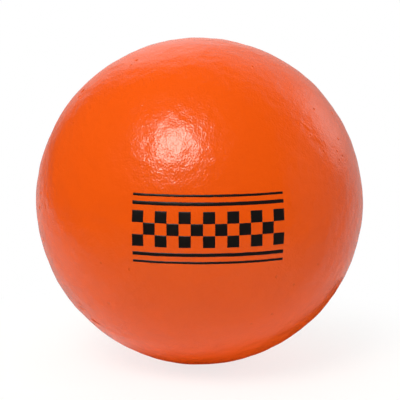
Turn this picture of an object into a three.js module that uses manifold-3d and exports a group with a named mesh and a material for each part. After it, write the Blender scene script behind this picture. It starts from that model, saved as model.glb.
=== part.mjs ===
// A coated foam ball for school sport: a soft foam core, a sealing coat that closes the foam's
// cells, and a tough coloured skin. A needle held the ball while it was coated, and the hole that
// it left at the back lets air in and out when the ball is squeezed.
// Sizes are in millimetres, +Z is up and -Y is the printed side. The origin is the middle of the
// small flat that the ball's own weight presses into it where it rests.
import * as THREE from "three";
import { mergeVertices } from "three/addons/utils/BufferGeometryUtils.js";
import Module from "manifold-3d";

const wasm = await Module();
wasm.setup();

// Driving dimensions
const ballDiameter = 120; // across the finished skin
const restDepth = 0.4; // how far the ball's own weight flattens it
const skinThickness = 0.7;
const sealThickness = 0.4;
const layerClearance = 0.3; // between one layer and the next
const needleDiameter = 1.6; // the vent hole and the channel behind it
const needleReach = 36; // from the outside of the skin to the tip of the channel
const needleTip = 5; // length of the channel's pointed end
const mouthDiameter = 4.2; // the skin draws in round the needle
const mouthDepth = 0.4;

// How finely the round surfaces are cut
const stepsRound = 48;
const stepsPerQuarter = 12; // from the flat's rim to the widest ring, and from there to the top
const stepsRoundNeedle = 16;

const ballRadius = ballDiameter / 2;
const centreHeight = ballRadius - restDepth;
const sealInset = skinThickness + layerClearance;
const coreInset = sealInset + sealThickness + layerClearance;

// A closed geometry as a solid that can be joined and cut
function solidOf(geometry) {
  const bare = geometry.clone();
  bare.deleteAttribute("normal");
  bare.deleteAttribute("uv");
  const merged = mergeVertices(bare);
  return new wasm.Manifold(
    new wasm.Mesh({
      numProp: 3,
      vertProperties: merged.attributes.position.array,
      triVerts: merged.index.array,
    }),
  );
}

// A solid as a geometry that a mesh can show
function geometryOf(solid) {
  const { vertProperties, triVerts } = solid.getMesh();
  const geometry = new THREE.BufferGeometry();
  geometry.setAttribute("position", new THREE.BufferAttribute(vertProperties, 3));
  geometry.setIndex(new THREE.BufferAttribute(triVerts, 1));
  geometry.computeVertexNormals();
  return geometry;
}

// A ball that rests on its flat, as far inside the finished ball as inset says on every side.
// Its outline runs from the middle of the flat to the flat's rim, out to the widest ring and up
// to the top.
function restingBall(inset) {
  const radius = ballRadius - inset;
  const flatAngle = Math.acos((radius - restDepth) / radius);
  const quarterTurn = Math.PI / 2;
  const lower = new THREE.EllipseCurve(0, centreHeight, radius, radius, flatAngle - quarterTurn, 0);
  const upper = new THREE.EllipseCurve(0, centreHeight, radius, radius, 0, quarterTurn);
  const outline = [
    new THREE.Vector2(0, inset),
    ...lower.getPoints(stepsPerQuarter),
    ...upper.getPoints(stepsPerQuarter).slice(1),
  ];
  outline.at(-1).x = 0;
  const geometry = new THREE.LatheGeometry(outline, stepsRound);
  geometry.rotateX(quarterTurn);
  return solidOf(geometry);
}

// What the coating needle takes away: a pointed channel along +Y that flares at the skin
function needleChannel() {
  const channelRadius = needleDiameter / 2;
  const mouthRadius = mouthDiameter / 2;
  const tip = ballRadius - needleReach;
  const beyondSkin = ballRadius + mouthDepth;
  const outline = [
    new THREE.Vector2(0, tip),
    new THREE.Vector2(channelRadius, tip + needleTip),
    new THREE.Vector2(channelRadius, ballRadius - mouthDepth),
    new THREE.Vector2(mouthRadius, ballRadius),
    new THREE.Vector2(mouthRadius, beyondSkin),
    new THREE.Vector2(0, beyondSkin),
  ];
  const geometry = new THREE.LatheGeometry(outline, stepsRoundNeedle);
  geometry.translate(0, 0, centreHeight);
  return solidOf(geometry);
}

// A coat of even thickness whose outside lies inset inside the finished ball
function coat(inset, thickness) {
  return restingBall(inset).subtract(restingBall(inset + thickness));
}

const needle = needleChannel();
const ball = new THREE.Group();
ball.name = "foam_ball";

function addLayer(name, solid, finish) {
  const mesh = new THREE.Mesh(geometryOf(solid.subtract(needle)), new THREE.MeshStandardMaterial(finish));
  mesh.name = name;
  ball.add(mesh);
}

addLayer("colour_skin", coat(0, skinThickness), { color: 0xf0510c, roughness: 0.35, metalness: 0 });
addLayer("sealing_coat", coat(sealInset, sealThickness), { color: 0xe8a06a, roughness: 0.5, metalness: 0 });
addLayer("foam_core", restingBall(coreInset), { color: 0xe9dfc4, roughness: 0.95, metalness: 0 });

export default ball;
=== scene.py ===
# Coated foam ball: the foam core, the sealing coat, the grained colour skin and the ink on it
import math

import bmesh
import bpy
from mathutils import Matrix, Vector, noise
from mathutils.kdtree import KDTree


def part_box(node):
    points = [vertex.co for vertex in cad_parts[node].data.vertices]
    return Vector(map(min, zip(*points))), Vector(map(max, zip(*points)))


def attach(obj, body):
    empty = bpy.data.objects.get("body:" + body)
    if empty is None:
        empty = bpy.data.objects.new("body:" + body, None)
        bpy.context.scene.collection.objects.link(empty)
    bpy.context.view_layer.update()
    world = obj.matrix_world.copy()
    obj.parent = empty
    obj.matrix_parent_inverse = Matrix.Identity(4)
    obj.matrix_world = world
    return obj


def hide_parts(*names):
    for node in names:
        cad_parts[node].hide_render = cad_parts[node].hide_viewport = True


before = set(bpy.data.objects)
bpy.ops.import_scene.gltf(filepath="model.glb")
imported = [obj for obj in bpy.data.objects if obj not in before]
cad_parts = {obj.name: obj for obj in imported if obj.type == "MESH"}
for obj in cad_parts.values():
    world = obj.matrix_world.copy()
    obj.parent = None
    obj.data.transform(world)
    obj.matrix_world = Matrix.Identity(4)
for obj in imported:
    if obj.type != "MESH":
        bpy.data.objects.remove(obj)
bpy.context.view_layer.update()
mm = 0.001

# the ball as the frame holds it: its widest ring gives the radius, its top the centre
skinLow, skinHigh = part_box("colour_skin")
sealLow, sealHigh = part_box("sealing_coat")
coreLow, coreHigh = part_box("foam_core")
ballRadius = (skinHigh.x - skinLow.x) / 2
sealRadius = (sealHigh.x - sealLow.x) / 2
coreRadius = (coreHigh.x - coreLow.x) / 2
ballCentre = Vector((0, 0, skinHigh.z - ballRadius))
print("ball of", round(ballRadius / mm * 2, 2), "mm, centre at height", round(ballCentre.z / mm, 2), "mm")


# sRGB hex to the linear colour that shaders take
def fromHex(code):
    parts = [int(code[i:i + 2], 16) / 255 for i in (1, 3, 5)]
    return [c / 12.92 if c <= 0.04045 else ((c + 0.055) / 1.055) ** 2.4 for c in parts] + [1]


# the scale of a pattern whose cells are this many millimetres across
def perMetre(sizeMm):
    return 1 / (sizeMm * mm)


# one node with its settings, and with values or links on its sockets
def addNode(tree, kind, sockets=None, **settings):
    node = tree.nodes.new("ShaderNode" + kind)
    for name, value in settings.items():
        setattr(node, name, value)
    for name, value in (sockets or {}).items():
        if isinstance(value, bpy.types.NodeSocket):
            tree.links.new(value, node.inputs[name])
        else:
            node.inputs[name].default_value = value
    return node


def newMaterial(name):
    material = bpy.data.materials.new(name)
    material.use_nodes = True
    material.node_tree.nodes.clear()
    return material, material.node_tree


# direction from the ball's centre, in degrees right of and above the middle of its front
def facing(right, up):
    right, up = math.radians(right), math.radians(up)
    return Vector((math.sin(right) * math.cos(up), -math.cos(right) * math.cos(up), math.sin(up)))


def newPiece(name, bm, material):
    mesh = bpy.data.meshes.new(name)
    bm.to_mesh(mesh)
    bm.free()
    mesh.polygons.foreach_set("use_smooth", [True] * len(mesh.polygons))
    mesh.materials.append(material)
    piece = bpy.data.objects.new(name, mesh)
    bpy.context.scene.collection.objects.link(piece)
    return piece


# a cube cut into a fine grid and blown up to a ball of radius 1: no pole pinches the mesh
def blownBall(cells):
    bm = bmesh.new()
    bmesh.ops.create_cube(bm, size=2)
    bmesh.ops.subdivide_edges(bm, edges=bm.edges[:], cuts=cells - 1, use_grid_fill=True)
    for vert in bm.verts:
        vert.co = Vector([math.tan(side * math.pi / 4) for side in vert.co]).normalized()
    return bm


ventSide = 0.5  # only vertices further back than this share of the radius lie in the vent's rings
weld = 0.001 * mm  # points of a coat's two walls that lie nearer than this become one


# where a grid vertex near the back lies in the square rings round the vent: its ring and its turn
def ventRing(direction, cells):
    if direction.y <= ventSide:
        return cells, 0
    cell = math.pi / 2 / cells
    across = round(math.atan2(direction.x, direction.y) / cell)
    along = round(math.atan2(direction.z, direction.y) / cell)
    ring = max(abs(across), abs(along))
    if ring == 0:
        return 0, 0
    if abs(across) == ring:
        turn = math.pi / 4 * along / across + (math.pi if across < 0 else 0)
    else:
        turn = math.pi / 2 - math.pi / 4 * across / along + (math.pi if along < 0 else 0)
    return ring, turn


# sizes a blown ball to a layer, drawn in at the vent, and stands it on its flat;
# rings gives ring number: (distance from the vent's axis, depth below the layer's surface), in mm
def sizeLayer(bm, cells, radius, floorHeight, rings, relief=None):
    outerRing = max(rings)
    deepest = max(depth for away, depth in rings.values()) * mm
    for vert in bm.verts:
        direction = vert.co.normalized()
        lump = relief(direction) if relief else 0
        ring, turn = ventRing(direction, cells)
        place = direction * (radius + lump)
        if ring <= outerRing:
            away, depth = (size * mm for size in rings[ring])
            # no lumps at the needle's hole
            tall = radius + (lump * (1 - depth / deepest) if lump else 0)
            rise = math.sqrt(tall ** 2 - away ** 2) - depth
            place = Vector((away * math.cos(turn), rise, away * math.sin(turn)))
        place += ballCentre
        place.z = max(place.z, floorHeight)
        vert.co = place


# opens the vent: the faces inside its rings go
def openVent(bm, inVent):
    faces = [face for face in bm.faces if all(vert in inVent for vert in face.verts)]
    bmesh.ops.delete(bm, geom=faces, context="FACES")


# a coat: its outer face, its inner face turned round, and the vent's wall where the two meet
def coatMesh(coat, outside, radius, floorHeight, relief=None):
    inside = blownBall(coat["insideCells"])
    thickness = coat["thickness"] * mm
    walls = (
        (outside, coat["cells"], coat["vent"], radius, floorHeight, relief),
        (inside, coat["insideCells"], coat["insideVent"],
         radius - thickness, floorHeight + thickness, None),
    )
    for bm, cells, rings, wallRadius, wallFloor, wallRelief in walls:
        hole = min(rings)
        inVent = {vert for vert in bm.verts if ventRing(vert.co, cells)[0] <= hole}
        openRings = dict(rings)
        for ring in range(hole):
            openRings[ring] = rings[hole]
        sizeLayer(bm, cells, wallRadius, wallFloor, openRings, wallRelief)
        openVent(bm, inVent)
    bmesh.ops.reverse_faces(inside, faces=inside.faces[:])
    lining = bpy.data.meshes.new("lining")
    inside.to_mesh(lining)
    inside.free()
    outside.from_mesh(lining)
    bpy.data.meshes.remove(lining)
    bmesh.ops.remove_doubles(outside, verts=outside.verts[:], dist=weld)
    return outside


# Colour skin: what the eye sees of the ball
skin = {
    "cells": 120, "insideCells": 24,  # faces along each edge of the cubes that are blown up
    "thickness": 0.7,
    # the mouth of the vent, drawn in round the needle
    "vent": {2: (0.8, 0.7), 3: (0.82, 0.42), 4: (1.15, 0.2), 5: (1.9, 0.06), 6: (3.2, 0.01), 7: (4.6, 0)},
    "insideVent": {2: (0.8, 0), 3: (3.0, 0)},
    # lumps of the ground foam and the leathery skin over it: size and height in mm
    "waves": [(48, 0.3), (17, 0.24), (6.5, 0.14), (3.1, 0.085), (2.0, 0.04)],
    # nicks and burst bubbles: degrees right and up, width and depth in mm;
    # one with a negative depth is a bead of the coat
    "nicks": [
        (-52, 62, 1.8, 0.28), (-51, 59, 1.2, 0.2), (-75, 44, 2.2, 0.35), (-59, 32, 1.1, 0.25),
        (-34.5, -12, 1.1, 0.22), (-23.5, -13, 1.1, 0.2), (-57, -32.5, 1.4, 0.25),
        (-36, -28, 1.6, 0.16), (-70, -10, 1.8, 0.28), (-72, 1, 1.6, 0.28), (62, 20, 1.2, 0.2),
        (59, 22, 1.0, 0.2), (58.5, 19, 1.0, 0.18), (50, 23, 1.1, 0.18), (57, 38, 1.1, 0.2),
        (74, 35, 1.8, 0.28), (26.5, -16, 1.2, 0.2), (44, -14, 1.1, 0.18), (34.5, -20, 1.2, 0.18),
        (29, -31.5, 1.3, 0.2), (21, -35, 1.1, 0.16), (36, 59, 1.3, 0.18), (45.5, 29, 1.0, 0.16),
        (150, 30, 1.3, 0.22), (-140, -12, 1.2, 0.22), (118, -34, 1.4, 0.25), (-105, 18, 1.1, 0.2),
        (176, -48, 1.3, 0.22), (-160, 55, 1.2, 0.2), (100, 8, 1.0, 0.2), (64, 26, 1.3, -0.18),
        (-71, 6, 1.6, -0.2), (-72.5, 42, 1.5, -0.18), (-150, 10, 1.2, -0.15), (130, 50, 1.2, -0.15),
    ],
    # creases and folds of the coat: degrees right and up of both ends, width and depth as above
    "creases": [
        ((43.8, 34.6), (47.9, 30), 2.2, -0.085), ((48, 29.2), (50.2, 26.3), 1.8, -0.055),
        ((-57, -39.6), (-51.7, -41), 2.6, 0.6), ((-62, -35.2), (-54, -34.3), 1.8, 0.35),
    ],
    "creaseStep": 0.25,  # from one nick of a crease to the next, as a share of its width
    "nickRagged": 0.3,  # how far a nick's edge wanders, as a share of its width
    "raggedSize": 0.7,  # and over what length, mm
    "lip": 0.12,  # the edge that a nick throws up, as a share of its depth
    "lipWidth": 0.5,  # and how wide that is, in half widths of the nick
    "nickReach": 1.8,  # how far out the mesh is refined, in half widths
    "nickCuts": 3,  # new edges across each face there
    "orange": "#F2590A", "deeper": "#EE5509",
    "mottleSize": 11, "mottleDetail": 3,  # patches of the two, mm, and how often they break up
    "paintedNickShade": "#E4540A",  # painted shade, darker inside the nicks and creases
    "ior": 1.6,
    "smooth": 0.22, "rough": 0.27,  # roughness on top of the curls and between them
    "curlRange": (0.3, 0.7),  # where between them and their tops that changes
    "curlSize": 0.66, "curlHeight": 0.08,  # curls of the drying film, mm
    "pitSize": 2.4, "pitHeight": 0.08,  # dimples where foam cells lie under the film, mm
    "pitBlend": 0.6,  # how softly one dimple runs into the next
}


# a crease as a row of nicks that runs out at both ends
def creaseNicks(start, end, width, depth):
    length = facing(*start).angle(facing(*end)) * ballRadius / mm
    steps = round(length / width / skin["creaseStep"])
    for step in range(1, steps):
        share = step / steps
        right, up = (first + (last - first) * share for first, last in zip(start, end))
        swell = math.sqrt(math.sin(math.pi * share))
        yield right, up, width * swell, depth * swell


nicks = list(skin["nicks"])
for crease in skin["creases"]:
    nicks += creaseNicks(*crease)
nickTree = KDTree(len(nicks))
for index, nick in enumerate(nicks):
    nickTree.insert(facing(*nick[:2]), index)
nickTree.balance()
print("nicks:", len(nicks), "with those in", len(skin["creases"]), "creases")


# how far the nearest nick is from a direction, in its half widths, and how deep it is
def nearestNick(direction):
    index, gap = nickTree.find(direction)[1:]
    width, depth = nicks[index][2:]
    spot = direction * (ballRadius / mm)
    ragged = 1 + skin["nickRagged"] * noise.noise(spot / skin["raggedSize"])
    return gap * ballRadius / mm / (width / 2) * ragged, depth


# how far the skin stands above or below the true ball in a direction
def skinRelief(direction):
    spot = direction * (ballRadius / mm)
    height = sum(tall * noise.noise(spot / size) for size, tall in skin["waves"])
    share, depth = nearestNick(direction)
    if share < 1:
        height -= depth * (1 - share ** 2) ** 2
    elif share < 1 + skin["lipWidth"]:
        height += depth * skin["lip"] * math.sin(math.pi * (share - 1) / skin["lipWidth"])
    return height * mm


# finer faces where a nick needs them, and a mark on them for the shade painted into it
def refineNicks(bm):
    near = {vert for vert in bm.verts if nearestNick(vert.co)[0] < skin["nickReach"]}
    edges = [edge for edge in bm.edges if edge.verts[0] in near or edge.verts[1] in near]
    bmesh.ops.subdivide_edges(bm, edges=edges, cuts=skin["nickCuts"], use_grid_fill=True)
    paintedNickShade = bm.verts.layers.float.new("paintedNickShade")
    for vert in bm.verts:
        vert.co.normalize()
        share, depth = nearestNick(vert.co)
        # painted shade: darkest in the middle of a nick, none on a bead
        vert[paintedNickShade] = max(0, 1 - share ** 2) if depth > 0 else 0


# the leathery grain of the sprayed coat, shared by the skin and the ink that lies on it
def grainNormal(tree, strength):
    place = addNode(tree, "TexCoord").outputs["Object"]
    curls = addNode(tree, "TexNoise", {
        "Vector": place, "Scale": perMetre(skin["curlSize"]), "Detail": 0})
    dimples = addNode(tree, "TexVoronoi", {
        "Vector": place, "Scale": perMetre(skin["pitSize"]),
        "Smoothness": skin["pitBlend"]}, feature="SMOOTH_F1")
    dimpled = addNode(tree, "Bump", {
        "Height": dimples.outputs["Distance"], "Strength": strength, "Distance": skin["pitHeight"] * mm})
    curled = addNode(tree, "Bump", {
        "Height": curls.outputs["Fac"], "Strength": strength, "Distance": skin["curlHeight"] * mm,
        "Normal": dimpled.outputs["Normal"]})
    return place, curls, curled.outputs["Normal"]


# Sprayed elastic polyurethane, pigmented: even strong orange, satin, its gloss broken into sparkles
def sprayedPolyurethane():
    material, tree = newMaterial("sprayed polyurethane skin")
    place, curls, normal = grainNormal(tree, 1)
    mottle = addNode(tree, "TexNoise", {
        "Vector": place, "Scale": perMetre(skin["mottleSize"]), "Detail": skin["mottleDetail"]})
    colour = addNode(tree, "Mix", {
        "Factor": mottle.outputs["Fac"], "A": fromHex(skin["orange"]),
        "B": fromHex(skin["deeper"])}, data_type="RGBA")
    # painted shade in the nicks and creases, from the mark on the mesh
    paintedNickShade = addNode(tree, "Attribute", attribute_name="paintedNickShade")
    nickShadeMixed = addNode(tree, "Mix", {
        "Factor": paintedNickShade.outputs["Fac"], "A": colour.outputs["Result"],
        "B": fromHex(skin["paintedNickShade"])}, data_type="RGBA")
    low, high = skin["curlRange"]
    gloss = addNode(tree, "MapRange", {
        "Value": curls.outputs["Fac"], "From Min": low, "From Max": high,
        "To Min": skin["rough"], "To Max": skin["smooth"]})
    shader = addNode(tree, "BsdfPrincipled", {
        "Base Color": nickShadeMixed.outputs["Result"], "Roughness": gloss.outputs["Result"],
        "IOR": skin["ior"], "Normal": normal})
    addNode(tree, "OutputMaterial", {"Surface": shader.outputs["BSDF"]})
    return material


skinBall = blownBall(skin["cells"])
refineNicks(skinBall)
skinMesh = coatMesh(skin, skinBall, ballRadius, skinLow.z, skinRelief)
skinPiece = newPiece("colour_skin_sprayed", skinMesh, sprayedPolyurethane())
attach(skinPiece, "root")
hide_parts("colour_skin")
print("skin:", len(skinPiece.data.polygons), "faces")

# Sealing coat: clear film soaked into the foam's outer cells
seal = {
    "cells": 48, "insideCells": 24,
    "thickness": 0.4,
    "vent": {2: (0.8, 0.4), 3: (0.8, 0), 4: (3.6, 0)},
    "insideVent": {2: (0.8, 0), 3: (3.0, 0)},
    "amber": "#E8A06A", "pale": "#F3CFA6",  # thick in the cells, thin over their walls
    "cellSize": 1.4, "cellHeight": 0.12,  # mm
    "ior": 1.5, "roughness": 0.4,
}


# Clear polyurethane soaked into foam: honey coloured, wet looking where it fills a cell
def clearPolyurethane():
    material, tree = newMaterial("soaked-in clear polyurethane")
    place = addNode(tree, "TexCoord").outputs["Object"]
    cells = addNode(tree, "TexVoronoi", {"Vector": place, "Scale": perMetre(seal["cellSize"])})
    relief = addNode(tree, "Bump", {
        "Height": cells.outputs["Distance"], "Distance": seal["cellHeight"] * mm})
    tone = addNode(tree, "Mix", {
        "Factor": cells.outputs["Distance"], "A": fromHex(seal["amber"]),
        "B": fromHex(seal["pale"])}, data_type="RGBA")
    shader = addNode(tree, "BsdfPrincipled", {
        "Base Color": tone.outputs["Result"], "Roughness": seal["roughness"],
        "IOR": seal["ior"], "Normal": relief.outputs["Normal"]})
    addNode(tree, "OutputMaterial", {"Surface": shader.outputs["BSDF"]})
    return material


sealMesh = coatMesh(seal, blownBall(seal["cells"]), sealRadius, sealLow.z)
sealPiece = newPiece("sealing_coat_film", sealMesh, clearPolyurethane())
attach(sealPiece, "root")
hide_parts("sealing_coat")
print("sealing coat:", len(sealPiece.data.polygons), "faces")

# Foam core: ground round, with the needle's channel running in from the vent
core = {
    "cells": 64,
    "channel": {0: (0, 34.3), 1: (0.4, 31.8), 2: (0.8, 29.3), 3: (0.8, 0), 4: (3.2, 0)},
    "waves": [(9, 0.1), (2.6, 0.06)],  # what the grinding leaves: size and height in mm
    "cream": "#E9DFC4", "poreShade": "#B7A983",
    "poreSize": 1.3, "poreHeight": 0.3,  # mm
    "ior": 1.45, "roughness": 0.95,
}


# how far the ground foam stands above or below a true ball
def coreRelief(direction):
    spot = direction * (coreRadius / mm)
    return sum(tall * noise.noise(spot / size) for size, tall in core["waves"]) * mm


# Ground open-cell polyurethane foam: matte cream, with cut cells that hold shade
def groundFoam():
    material, tree = newMaterial("ground open-cell foam")
    place = addNode(tree, "TexCoord").outputs["Object"]
    pores = addNode(tree, "TexVoronoi", {"Vector": place, "Scale": perMetre(core["poreSize"])})
    tone = addNode(tree, "Mix", {
        "Factor": pores.outputs["Distance"], "A": fromHex(core["poreShade"]),
        "B": fromHex(core["cream"])}, data_type="RGBA")
    relief = addNode(tree, "Bump", {
        "Height": pores.outputs["Distance"], "Distance": core["poreHeight"] * mm})
    shader = addNode(tree, "BsdfPrincipled", {
        "Base Color": tone.outputs["Result"], "Roughness": core["roughness"],
        "IOR": core["ior"], "Normal": relief.outputs["Normal"]})
    addNode(tree, "OutputMaterial", {"Surface": shader.outputs["BSDF"]})
    return material


coreMesh = blownBall(core["cells"])
sizeLayer(coreMesh, core["cells"], coreRadius, coreLow.z, core["channel"], coreRelief)
corePiece = newPiece("foam_core_ground", coreMesh, groundFoam())
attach(corePiece, "root")
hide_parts("foam_core")
print("foam core:", len(corePiece.data.polygons), "faces")

# Print: a plain chequered strip between two pairs of rules, where such balls carry their print; mm
ink = {
    "right": 3, "up": 0.9,  # degrees from the middle of the front
    "square": 4, "columns": 13, "rows": 3,
    "rules": [(1.9, 1.2), (4.8, 0.8)],  # distance from the chequers and width
    "film": 0.05,  # how far the ink stands above the skin
    "sunk": 0.06,  # how far its body reaches into it
    "step": 0.35,  # mesh size
    "ragged": 0.06, "raggedSize": 0.8,  # how far the grain pulls the edge about, and over what length
    "seed": 4,  # of the noise that does so, or each run would draw another edge
    "black": "#120D0C",
    "ior": 1.5, "roughness": 0.42,
    "grainShown": 0.8,  # how much of the skin's grain the film leaves
}


# one inked rectangle, still flat, across and along from the middle of the print
def inkPatch(bm, left, bottom, width, height):
    middle = Matrix.Translation((left + width / 2, bottom + height / 2, 0))
    stretch = Matrix.Diagonal((width / 2, height / 2, 1, 1))
    across, along = (max(1, round(side / ink["step"])) for side in (width, height))
    bmesh.ops.create_grid(bm, x_segments=across, y_segments=along, size=1, matrix=middle @ stretch)


# all the rectangles, then laid on the skin's lumps
def printMesh():
    bm = bmesh.new()
    square = ink["square"]
    width, height = square * ink["columns"], square * ink["rows"]
    for row in range(ink["rows"]):
        for column in range(ink["columns"]):
            if (row + column) % 2 == 0:
                inkPatch(bm, column * square - width / 2, row * square - height / 2, square, square)
    for gap, thick in ink["rules"]:
        for bottom in (height / 2 + gap, -height / 2 - gap - thick):
            inkPatch(bm, -width / 2, bottom, width, thick)
    perDegree = math.pi / 180 * ballRadius / mm
    noise.seed_set(ink["seed"])
    for vert in bm.verts:
        pull = noise.noise_vector(vert.co / ink["raggedSize"]) * ink["ragged"]
        right = ink["right"] + (vert.co.x + pull.x) / perDegree
        up = ink["up"] + (vert.co.y + pull.y) / perDegree
        direction = facing(right, up)
        vert.co = ballCentre + direction * (ballRadius + skinRelief(direction) + ink["film"] * mm)
    bm.normal_update()
    return bm


# Pad-printed ink: a thin black film, a little glossy, that the grain shows through
def padPrintInk():
    material, tree = newMaterial("pad-printed black ink")
    normal = grainNormal(tree, ink["grainShown"])[2]
    shader = addNode(tree, "BsdfPrincipled", {
        "Base Color": fromHex(ink["black"]), "Roughness": ink["roughness"],
        "IOR": ink["ior"], "Normal": normal})
    addNode(tree, "OutputMaterial", {"Surface": shader.outputs["BSDF"]})
    return material


inkMesh = printMesh()
bmesh.ops.solidify(inkMesh, geom=inkMesh.faces[:], thickness=(ink["film"] + ink["sunk"]) * mm)
inkPiece = newPiece("print_ink", inkMesh, padPrintInk())
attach(inkPiece, "root")
print("print:", len(inkPiece.data.polygons), "faces")

# Studio: a white sheet, a round softbox high on the left that shows in the gloss, soft lamps that don't,
# and the pale backdrop that the gloss sees behind the ball instead of them
studio = {
    "floorSize": 6,
    "sheet": "#EFF2E8", "sheetShown": "#FFFFFF",  # its true tone, and as the camera sees it
    "sheetReach": (0.12, 0.3),  # from here to here outwards it ends
    # light that comes up through the sheet, a glow painted into it, with a negative one as painted shade:
    # where, from where to where it fades, strength
    "underLight": [
        (Vector((0, 0, 0)), 0.015, 0.08, 0.5), (Vector((0.07, -0.01, 0)), 0.005, 0.055, 0.25),
        (Vector((0, -0.022, 0)), 0.002, 0.022, -0.18),
    ],
    "underColour": "#EBFFEF",
    "shadowShown": 0.25,  # how much of the ball's shadow the camera sees
    "floorClear": (0.045, 0.125),  # from here to here outwards the camera's floor turns plain white
    # lamps: which way from the ball, how far, how wide, how many watts and what colour
    "lamps": {
        "key": (Vector((-0.278, -0.625, 0.729)), 1.2, 0.55, 7.7, "#FFFCF2"),
        "fill": (Vector((-0.278, -0.625, 0.729)), 1.2, 1.6, 3.5, "#FFFFFF"),
        "ceiling": (Vector((0.2, 0.04, 1)), 1.4, 6, 38, "#F6FFF2"),
        "left": (Vector((-1, 0, 0.3)), 1.2, 0.8, 4.9, "#FFFFFF"),
        "right": (Vector((0.9, -0.6, 0.36)), 1.2, 0.8, 3.9, "#FFF0EE"),
        "back": (Vector((0.03, 1, 0.18)), 1.2, 3, 22, "#FFFFFF"),
    },
    "glossShows": "key",
    # what the gloss sees behind the ball: degrees right of and above its front, edge and middle of the
    # glow in degrees off that way, strength
    "glows": [
        (158, 26, 53.5, 3.5, 0.46), (128, 21, 17.4, 9, 0.65), (106.5, 5, 46, 26.4, 0.21),
        (196, 41, 19, 1.5, 0.51), (191, 12, 26, 1.6, 0.39),
    ],
    "dim": 0.047,  # the dark of the room between them
    # and the sheet it sees below, painted as a glow that only the gloss sees: which way it ends, and from
    # where to where it fades there
    "sheetEnds": [
        (Vector((-0.5, -0.86, 0)), 0.042, 0.138), (Vector((-0.89, -0.46, 0)), 0.125, 0.283),
        (Vector((0.88, -0.48, 0)), 0.105, 0.465),
    ],
    # how bright it looks there: it falls off towards the front
    "sheetSeen": (0.55, 0.142), "seenWay": Vector((0.26, -0.96, 0)), "seenReach": (-0.019, 0.103),
    # a painted shadow of the ball in it: its middle, half its length and width, its turn in degrees, its
    # soft edge
    "paintedShadow": {"place": (0.0286, 0.0328, 0), "size": (0.066, 0.044, 1), "turn": 53, "edge": (0.98, 1.23)},
}


# how pale the gloss finds the studio in a direction
def paleTowards(tree, way):
    total = studio["dim"]
    for right, up, edge, middle, strength in studio["glows"]:
        share = addNode(tree, "VectorMath", {0: way, 1: facing(right, up)}, operation="DOT_PRODUCT")
        glow = addNode(tree, "MapRange", {
            "Value": share.outputs["Value"], "From Min": math.cos(math.radians(edge)),
            "From Max": math.cos(math.radians(middle)),
            "To Max": strength}, interpolation_type="SMOOTHSTEP")
        total = addNode(tree, "Math", {0: glow.outputs["Result"], 1: total}).outputs["Value"]
    return total


# what lights the ball: the sheet and the glow painted into it; the camera sees only the sheet, as white
def litSheet(tree, place, outward, toCamera):
    start, end = studio["sheetReach"]
    ends = addNode(tree, "MapRange", {
        "Value": outward, "From Min": start, "From Max": end,
        "To Min": 1, "To Max": 0}, interpolation_type="SMOOTHSTEP")
    tone = addNode(tree, "Mix", {
        "Factor": ends.outputs["Result"], "A": (0, 0, 0, 1),
        "B": fromHex(studio["sheet"])}, data_type="RGBA")
    shown = addNode(tree, "Mix", {
        "Factor": toCamera, "A": tone.outputs["Result"],
        "B": fromHex(studio["sheetShown"])}, data_type="RGBA")
    bounce = addNode(tree, "BsdfDiffuse", {"Color": shown.outputs["Result"]})
    glow = 0
    # painted glow that lights the ball from below; a negative strength paints shade on it
    for spot, middle, edge, strength in studio["underLight"]:
        gap = addNode(tree, "VectorMath", {0: place, 1: spot}, operation="DISTANCE")
        fade = addNode(tree, "MapRange", {
            "Value": gap.outputs["Value"], "From Min": middle, "From Max": edge,
            "To Min": strength, "To Max": 0}, interpolation_type="SMOOTHSTEP")
        glow = addNode(tree, "Math", {0: fade.outputs["Result"], 1: glow}).outputs["Value"]
    hidden = addNode(tree, "Mix", {"Factor": toCamera, "A": glow, "B": 0})
    glowing = addNode(tree, "Emission", {
        "Color": fromHex(studio["underColour"]), "Strength": hidden.outputs["Result"]})
    lit = addNode(tree, "AddShader", {0: bounce.outputs["BSDF"], 1: glowing.outputs["Emission"]})
    return lit.outputs["Shader"]


# what the gloss sees below, a painted reflection: the sheet with a painted shadow of the ball on it, and
# the studio past its ends
def paintedSheetReflection(tree, place):
    frontwards = addNode(tree, "VectorMath", {0: place, 1: studio["seenWay"]}, operation="DOT_PRODUCT")
    start, end = studio["seenReach"]
    bright, dull = studio["sheetSeen"]
    seen = addNode(tree, "MapRange", {
        "Value": frontwards.outputs["Value"], "From Min": start, "From Max": end,
        "To Min": bright, "To Max": dull}, interpolation_type="SMOOTHSTEP")
    # painted shadow: the sheet's glow is dark inside this ellipse and fades in at its edge
    paintedShadow = studio["paintedShadow"]
    inPaintedShadow = addNode(tree, "Mapping", {
        "Vector": place, "Location": paintedShadow["place"], "Rotation": (0, 0, math.radians(paintedShadow["turn"])),
        "Scale": paintedShadow["size"]}, vector_type="TEXTURE")
    fromMiddle = addNode(tree, "VectorMath", {0: inPaintedShadow.outputs["Vector"]}, operation="LENGTH")
    start, end = paintedShadow["edge"]
    lit = addNode(tree, "MapRange", {
        "Value": fromMiddle.outputs["Value"], "From Min": start,
        "From Max": end}, interpolation_type="SMOOTHSTEP")
    sheetPale = addNode(tree, "Math", {
        0: lit.outputs["Result"], 1: seen.outputs["Result"]}, operation="MULTIPLY")
    onSheet = 1
    for outWay, start, end in studio["sheetEnds"]:
        reach = addNode(tree, "VectorMath", {0: place, 1: outWay}, operation="DOT_PRODUCT")
        fade = addNode(tree, "MapRange", {
            "Value": reach.outputs["Value"], "From Min": start, "From Max": end,
            "To Min": 1, "To Max": 0}, interpolation_type="SMOOTHSTEP")
        onSheet = addNode(tree, "Math", {
            0: fade.outputs["Result"], 1: onSheet}, operation="MULTIPLY").outputs["Value"]
    away = addNode(tree, "VectorMath", {0: place}, operation="NORMALIZE").outputs["Vector"]
    pale = addNode(tree, "Mix", {
        "Factor": onSheet, "A": paleTowards(tree, away), "B": sheetPale.outputs["Value"]})
    mirrored = addNode(tree, "Emission", {"Strength": pale.outputs["Result"]})
    return mirrored.outputs["Emission"]
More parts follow.
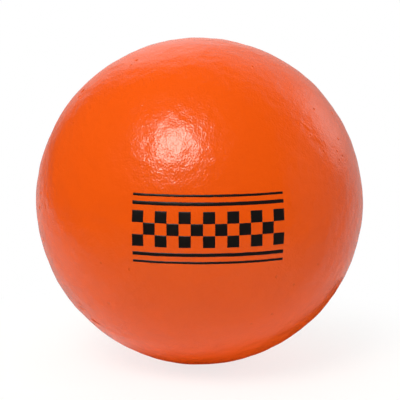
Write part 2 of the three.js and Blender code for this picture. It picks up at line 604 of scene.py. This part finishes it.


# White paper sheet: matte, lit from above, with a glow painted into it that lights the ball from below;
# the camera sees it mixed towards plain white, so that the ball's shadow on it is faint
def floorMaterial():
    material, tree = newMaterial("white sheet")
    light = addNode(tree, "LightPath")
    toCamera = light.outputs["Is Camera Ray"]
    place = addNode(tree, "TexCoord").outputs["Object"]
    outward = addNode(tree, "VectorMath", {0: place}, operation="LENGTH").outputs["Value"]
    # glossy rays see the painted reflection of the sheet, not the lit sheet
    sheet = addNode(tree, "MixShader", {
        0: light.outputs["Is Glossy Ray"], 1: litSheet(tree, place, outward, toCamera),
        2: paintedSheetReflection(tree, place)})
    # away from the ball's shadow the camera's sheet runs into the white behind it
    start, end = studio["floorClear"]
    clear = addNode(tree, "MapRange", {
        "Value": outward, "From Min": start, "From Max": end,
        "To Min": 1 - studio["shadowShown"], "To Max": 1}, interpolation_type="SMOOTHSTEP")
    whitened = addNode(tree, "Math", {0: clear.outputs["Result"], 1: toCamera}, operation="MULTIPLY")
    plain = addNode(tree, "Emission")
    shader = addNode(tree, "MixShader", {
        0: whitened.outputs["Value"], 1: sheet.outputs["Shader"], 2: plain.outputs["Emission"]})
    addNode(tree, "OutputMaterial", {"Surface": shader.outputs["Shader"]})
    return material


floorMesh = bmesh.new()
bmesh.ops.create_grid(floorMesh, x_segments=1, y_segments=1, size=studio["floorSize"] / 2)
floor = newPiece("floor", floorMesh, floorMaterial())

world = bpy.data.worlds.new("studio")
bpy.context.scene.world = world
world.use_nodes = True
tree = world.node_tree
tree.nodes.clear()
light = addNode(tree, "LightPath")
way = addNode(tree, "TexCoord").outputs["Generated"]
dark = addNode(tree, "Background", {"Strength": 0})  # the lamps alone light what is matte
reflected = addNode(tree, "Background", {"Color": (1, 1, 1, 1), "Strength": paleTowards(tree, way)})
white = addNode(tree, "Background", {"Color": (1, 1, 1, 1), "Strength": 1})
glossy = addNode(tree, "MixShader", {
    0: light.outputs["Is Glossy Ray"], 1: dark.outputs["Background"], 2: reflected.outputs["Background"]})
shown = addNode(tree, "Math", {
    0: light.outputs["Is Camera Ray"], 1: light.outputs["Is Transmission Ray"]}, operation="MAXIMUM")
backdrop = addNode(tree, "MixShader", {
    0: shown.outputs["Value"], 1: glossy.outputs["Shader"], 2: white.outputs["Background"]})
addNode(tree, "OutputWorld", {"Surface": backdrop.outputs["Shader"]})

# round lamps that face the ball
for name, (lampWay, far, width, watts, colour) in studio["lamps"].items():
    lamp = bpy.data.lights.new(name, "AREA")
    lamp.shape = "DISK"
    lamp.size = width
    lamp.energy = watts
    lamp.color = fromHex(colour)[:3]
    holder = bpy.data.objects.new(name, lamp)
    holder.location = ballCentre + lampWay.normalized() * far
    holder.rotation_euler = (-lampWay).to_track_quat("-Z", "Y").to_euler()
    bpy.context.scene.collection.objects.link(holder)
    if name != studio["glossShows"]:
        holder.visible_glossy = False  # the gloss sees the glows of the world instead
        holder.visible_camera = False
        lamp.cycles.use_multiple_importance_sampling = False  # or part of it would still show in the gloss
print("studio:", len(studio["lamps"]), "lamps and", len(studio["glows"]), "glows")

# Camera: above the ball and looking down at it, so that it is as large and where the photograph has it
shot = {
    "down": 10,  # degrees the camera looks down
    "lens": 120, "sensor": 36,  # mm
    "picture": 400,  # pixels across
    "ballRadius": 163.3, "ballRight": -0.45, "ballUp": -0.99,  # pixels, from the middle of the picture
}
focal = shot["lens"] / shot["sensor"] * shot["picture"]
distance = ballRadius / math.sin(math.atan(shot["ballRadius"] / focal))
down = math.radians(shot["down"])
back = Vector((0, -math.cos(down), math.sin(down)))
upward = Vector((0, math.sin(down), math.cos(down)))
perPixel = distance / focal
aim = ballCentre - (Vector((1, 0, 0)) * shot["ballRight"] + upward * shot["ballUp"]) * perPixel
camera = bpy.data.objects.new("camera", bpy.data.cameras.new("camera"))
camera.data.lens = shot["lens"]
camera.data.sensor_width = shot["sensor"]
camera.location = aim + back * distance
camera.rotation_euler = (-back).to_track_quat("-Z", "Y").to_euler()
bpy.context.scene.collection.objects.link(camera)
bpy.context.scene.camera = camera
bpy.context.scene.view_settings.view_transform = "Standard"
print("camera", round(distance, 4), "m from the ball")
